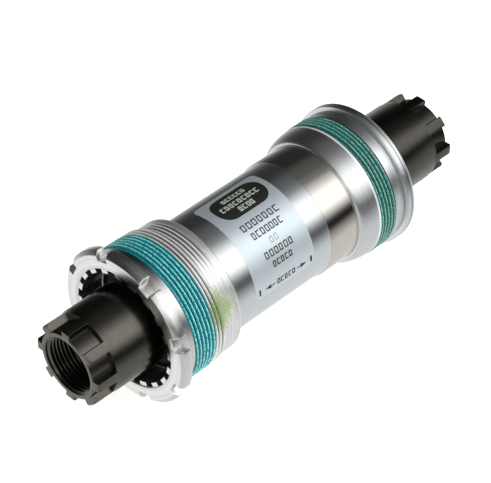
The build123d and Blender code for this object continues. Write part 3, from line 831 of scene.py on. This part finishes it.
class BRACKET_OT_cartridge(bpy.types.Operator):
    """Build the satin cover tube and the polished bearing housing"""

    bl_idname = "bracket.cartridge"
    bl_label = "Cover tube and housing"

    def execute(self, context):
        size = sizes()
        snap_r = span("left_snap_ring")[0]
        _, left_snap_low, left_snap_high = span("left_snap_ring")
        _, drive_snap_low, drive_snap_high = span("drive_snap_ring")
        _, ring_low, ring_high = span("housing_o_ring")
        bm = bmesh.new()
        lathe(bm, [
            (TUBE_BORE, TUBE_LEFT_END), (TUBE_R, TUBE_LEFT_END),
            (TUBE_R, TUBE_DRIVE_END + 2.0), (TUBE_R + 0.4, TUBE_DRIVE_END),
            (TUBE_BORE, TUBE_DRIVE_END),
            (TUBE_BORE, left_snap_low), (snap_r, left_snap_low),
            (snap_r, left_snap_high), (TUBE_BORE, left_snap_high),
        ])
        break_edges(bm, size["edge_break"])
        material = satin_steel(colours("satin"))
        piece("cover_tube_detail", bm, material, "cartridge", "satin_steel", "cartridge_tube")
        middle = (ring_low + ring_high) / 2
        shoulder_y = span("drive_ball_race")[2]
        bm = bmesh.new()
        lathe(bm, [
            (TUBE_BORE, HOUSING_END), (HOUSING_R, HOUSING_END), (HOUSING_R, TUBE_DRIVE_END),
            (TUBE_BORE, TUBE_DRIVE_END), (TUBE_BORE, middle - 0.45), (TUBE_BORE - 0.78, middle - 0.45),
            (TUBE_BORE - 0.78, middle + 0.45), (TUBE_BORE, middle + 0.45), (TUBE_BORE, SPIGOT_END),
            (TUBE_BORE - 1.0, SPIGOT_END), (TUBE_BORE - 1.0, shoulder_y), (TUBE_BORE, shoulder_y),
            (TUBE_BORE, drive_snap_high), (snap_r, drive_snap_high),
            (snap_r, drive_snap_low), (TUBE_BORE, drive_snap_low),
        ])
        break_edges(bm, size["edge_break"] / 2)
        material = polished_steel(colours("polished"))
        piece("housing_detail", bm, material, "cartridge", "polished_steel", "bearing_housing")
        return {"FINISHED"}


class BRACKET_OT_label(bpy.types.Operator):
    """Build the sticker with its badge, rows of plain marks and length arrows"""

    bl_idname = "bracket.label"
    bl_label = "Sticker"

    def execute(self, context):
        size = sizes()
        base, ink = TUBE_R + 0.002, size["ink_thickness"]
        top = base + size["label_thickness"]
        first, last, arrow_row = 66.0, 180.0, 173.6
        bm = bmesh.new()
        patch(bm, base, size["label_thickness"], LABEL_LOW, LABEL_HIGH, first, last, 1.6, 4.0)
        material = label_film(colours("film"))
        piece("sticker_film", bm, material, "cartridge", "label_film", "label", smooth_angle=40)

        bm = bmesh.new()
        patch(bm, top - 0.001, ink, -3.4, 12.0, 71.5, 103.0, 3.6, 3.0)
        dice = random.Random(size["seed"])
        rows = [     # start and end along Y, angle, count and height
            (10.4, -1.8, 114.0, 7, 1.75), (9.3, -0.6, 124.6, 7, 1.75),
            (8.9, -0.3, 145.2, 6, 1.75), (7.6, 1.1, 155.4, 5, 1.55),
            (7.5, 1.3, arrow_row, 5, 1.45), (13.4, 12.7, arrow_row, 1, 1.7), (-3.5, -4.3, arrow_row, 1, 1.7),
        ]
        for row in rows:
            marks(bm, top, ink, dice, *row)
        for tip, tail, direction in ((11.5, 8.2, 1), (-2.3, 0.9, -1)):
            low, high = sorted((tip - direction, tail))
            stroke = math.degrees(0.14 / TUBE_R)
            patch(bm, top, ink, low, high, arrow_row - stroke, arrow_row + stroke)
            arrow_head(bm, top, ink, tip, arrow_row, 2.0, direction)
        piece("sticker_dark_print", bm, printing_ink("dark_ink", colours("ink")), "cartridge", "label_film")

        bm = bmesh.new()
        for row in ((7.9, 0.6, 79.3, 6, 1.3), (10.3, -1.8, 88.0, 9, 1.5), (6.6, 1.6, 96.4, 4, 1.5)):
            marks(bm, top + ink, ink, dice, *row)
        material = printing_ink("light_ink", colours("light_ink"))
        piece("sticker_light_print", bm, material, "cartridge", "label_film")

        bm = bmesh.new()
        marks(bm, top, ink, dice, 5.7, 2.8, 135.0, 2, 1.6)
        material = printing_ink("grey_ink", srgb("#8d8c86"))
        piece("sticker_grey_print", bm, material, "cartridge", "label_film")
        return {"FINISHED"}


def marks(bm, radius, thickness, dice, start, end, angle, count, height):
    """Row of plain block marks, read from high Y to low Y, each a hollow or barred block."""
    pitch = (start - end) / count
    half = math.degrees(height / 2 / radius)
    stroke = 0.3
    turn = math.degrees(stroke / radius)
    first, last = angle - half, angle + half
    inner_low, inner_high = first + 1.02 * turn, last - 1.02 * turn
    for number in range(count):
        high = start - number * pitch
        low = high - pitch * dice.uniform(0.70, 0.80)
        bars = [(low, high, first, first + turn), (low, high, last - turn, last)]
        bars.append((high - stroke, high, inner_low, inner_high))
        if dice.random() < 0.6:
            bars.append((low, low + stroke, inner_low, inner_high))
        if pitch <= 0.9:
            bars = [(low, high, first, last)]
        for bar in bars:
            patch(bm, radius, thickness, *bar, slice_angle=4.0)


class BRACKET_OT_inner_finishes(bpy.types.Operator):
    """Give the bearings, seals, rings and spacer their finishes"""

    bl_idname = "bracket.inner_finishes"
    bl_label = "Inner finishes"

    def execute(self, context):
        finishes = {
            "bearing_steel": turned_metal("bearing_steel", srgb("#c9cacc"), 0.12, 0.2, 0.0005)[0],
            "cage_nylon": moulded("cage_nylon", srgb("#d8cdb0"), 0.5, 0.3, 0.01),
            "seal_rubber": moulded("seal_rubber", srgb("#141414"), 0.6, 0.25, 0.01),
            "spacer_plastic": moulded("spacer_plastic", srgb("#4c4c4f"), 0.5, 0.3, 0.01),
        }
        for name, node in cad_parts.items():
            if node.hide_render:
                continue
            node.data.materials.clear()
            node.data.materials.append(finishes[slot_of(name)])
            node.data.shade_smooth()
            node.data.set_sharp_from_angle(angle=math.radians(32))
        return {"FINISHED"}


def slot_of(name):
    """Finish of an inner CAD node, from the kind of part that its name gives."""
    kinds = {"cage": "cage_nylon", "lip": "seal_rubber", "o_ring": "seal_rubber", "spacer": "spacer_plastic"}
    return next((finish for word, finish in kinds.items() if word in name), "bearing_steel")


# --- Studio ------------------------------------------------------------------------------

# Brightness that surfaces see round the spindle's axis, by angle from +X towards +Z:
# a dark room on +X, a dim ceiling, one long softbox on the -X side and a pale table below.
STUDIO_RING = (
    (-180, 0.03), (-176, 0.10), (-168, 0.32), (-152, 0.68), (-90, 0.74), (-60, 0.95), (-32, 0.93),
    (-16, 0.38), (0, 0.10), (16, 0.03), (48, 0.027), (64, 0.085), (82, 0.12), (96, 0.23),
    (110, 0.8), (122, 1.45), (148, 1.45), (160, 0.6), (168, 0.12), (174, 0.02), (180, 0.03),
)


def build_world():
    world = bpy.data.worlds.new("studio")
    bpy.context.scene.world = world
    world.use_nodes = True
    tree = world.node_tree
    tree.nodes.clear()
    x, _, z = add(tree, "SeparateXYZ", {0: add(tree, "TexCoord", output="Generated")}).node.outputs
    angle = add(tree, "Math", {0: z, 1: x}, operation="ARCTAN2")
    turn = add(tree, "Math", {0: angle, 1: 1 / math.tau, 2: 0.5}, operation="MULTIPLY_ADD")
    peak = max(level for _, level in STUDIO_RING)
    stops = [((degrees + 180) / 360, (level / peak,) * 3 + (1.0,)) for degrees, level in STUDIO_RING]
    levels = add(tree, "ValToRGB", {"Fac": turn}, stops=stops)
    ring = add(tree, "Background", {"Color": levels, "Strength": peak})
    plain = add(tree, "Background", {"Color": srgb("#ffffff"), "Strength": 1.0})
    seen = add(tree, "LightPath", output="Is Camera Ray")
    add(tree, "OutputWorld", {"Surface": add(tree, "MixShader", {0: seen, 1: ring, 2: plain})})


class BRACKET_OT_stage(bpy.types.Operator):
    """Build the floor, lights, world and camera"""

    bl_idname = "bracket.stage"
    bl_label = "Studio"

    def execute(self, context):
        scene = context.scene
        bm = bmesh.new()
        bmesh.ops.create_grid(bm, x_segments=1, y_segments=1, size=3.0)
        bmesh.ops.translate(bm, verts=bm.verts[:], vec=(0, 0, cad_low.z - 0.0005))
        mesh = bpy.data.meshes.new("floor")
        bm.to_mesh(mesh)
        bm.free()
        mesh.materials.append(studio_floor(colours("floor")))
        floor = bpy.data.objects.new("floor", mesh)
        scene.collection.objects.link(floor)
        floor.visible_glossy = False

        for name, place, size, watts in (
            ("key_softbox", (-0.62, -0.35, 0.85), 0.9, 10.0),
            ("fill_softbox", (0.35, 0.55, 0.95), 0.9, 5.0),
        ):
            light = bpy.data.lights.new(name, "AREA")
            light.shape = "SQUARE"
            light.size = size
            light.energy = watts
            lamp = bpy.data.objects.new(name, light)
            lamp.location = place
            lamp.rotation_euler = Vector(place).to_track_quat("Z", "Y").to_euler()
            lamp.visible_glossy = False
            scene.collection.objects.link(lamp)

        build_world()
        camera = bpy.data.cameras.new("camera")
        camera.lens = 159.95
        camera.sensor_width = 36.0
        camera.shift_x = 0.0074
        camera.shift_y = 0.0402
        camera.clip_start = 0.01
        camera.clip_end = 20.0
        seat = bpy.data.objects.new("camera", camera)
        seat.location = (-0.27081, 0.27478, 0.34648)
        seat.rotation_euler = Vector((-0.52181, 0.52158, 0.67504)).to_track_quat("Z", "Y").to_euler()
        scene.collection.objects.link(seat)
        scene.camera = seat
        scene.view_settings.view_transform = "Standard"
        return {"FINISHED"}


OPERATORS = (
    BRACKET_OT_spindle, BRACKET_OT_left_adapter, BRACKET_OT_drive_cup, BRACKET_OT_cartridge,
    BRACKET_OT_label, BRACKET_OT_inner_finishes, BRACKET_OT_stage,
)


class BRACKET_PT_tools(bpy.types.Panel):
    """Lists the pieces in the order in which they are built."""

    bl_label = "Bottom bracket"
    bl_idname = "BRACKET_PT_tools"
    bl_space_type = "VIEW_3D"
    bl_region_type = "UI"
    bl_category = "Bracket"

    def draw(self, context):
        column = self.layout.column()
        for operator in OPERATORS:
            column.operator(operator.bl_idname)
        for group in (context.scene.bracket_sizes, context.scene.bracket_colours):
            for key in type(group).__annotations__:
                column.prop(group, key)


CLASSES = (BracketSizes, BracketColours, *OPERATORS, BRACKET_PT_tools)


def register():
    for cls in CLASSES:
        bpy.utils.register_class(cls)
    bpy.types.Scene.bracket_sizes = PointerProperty(type=BracketSizes)
    bpy.types.Scene.bracket_colours = PointerProperty(type=BracketColours)


def unregister():
    del bpy.types.Scene.bracket_sizes
    del bpy.types.Scene.bracket_colours
    for cls in reversed(CLASSES):
        bpy.utils.unregister_class(cls)


def main():
    register()
    for operator in OPERATORS:
        group, name = operator.bl_idname.split(".")
        getattr(getattr(bpy.ops, group), name)()


if __name__ == "__main__":
    main()
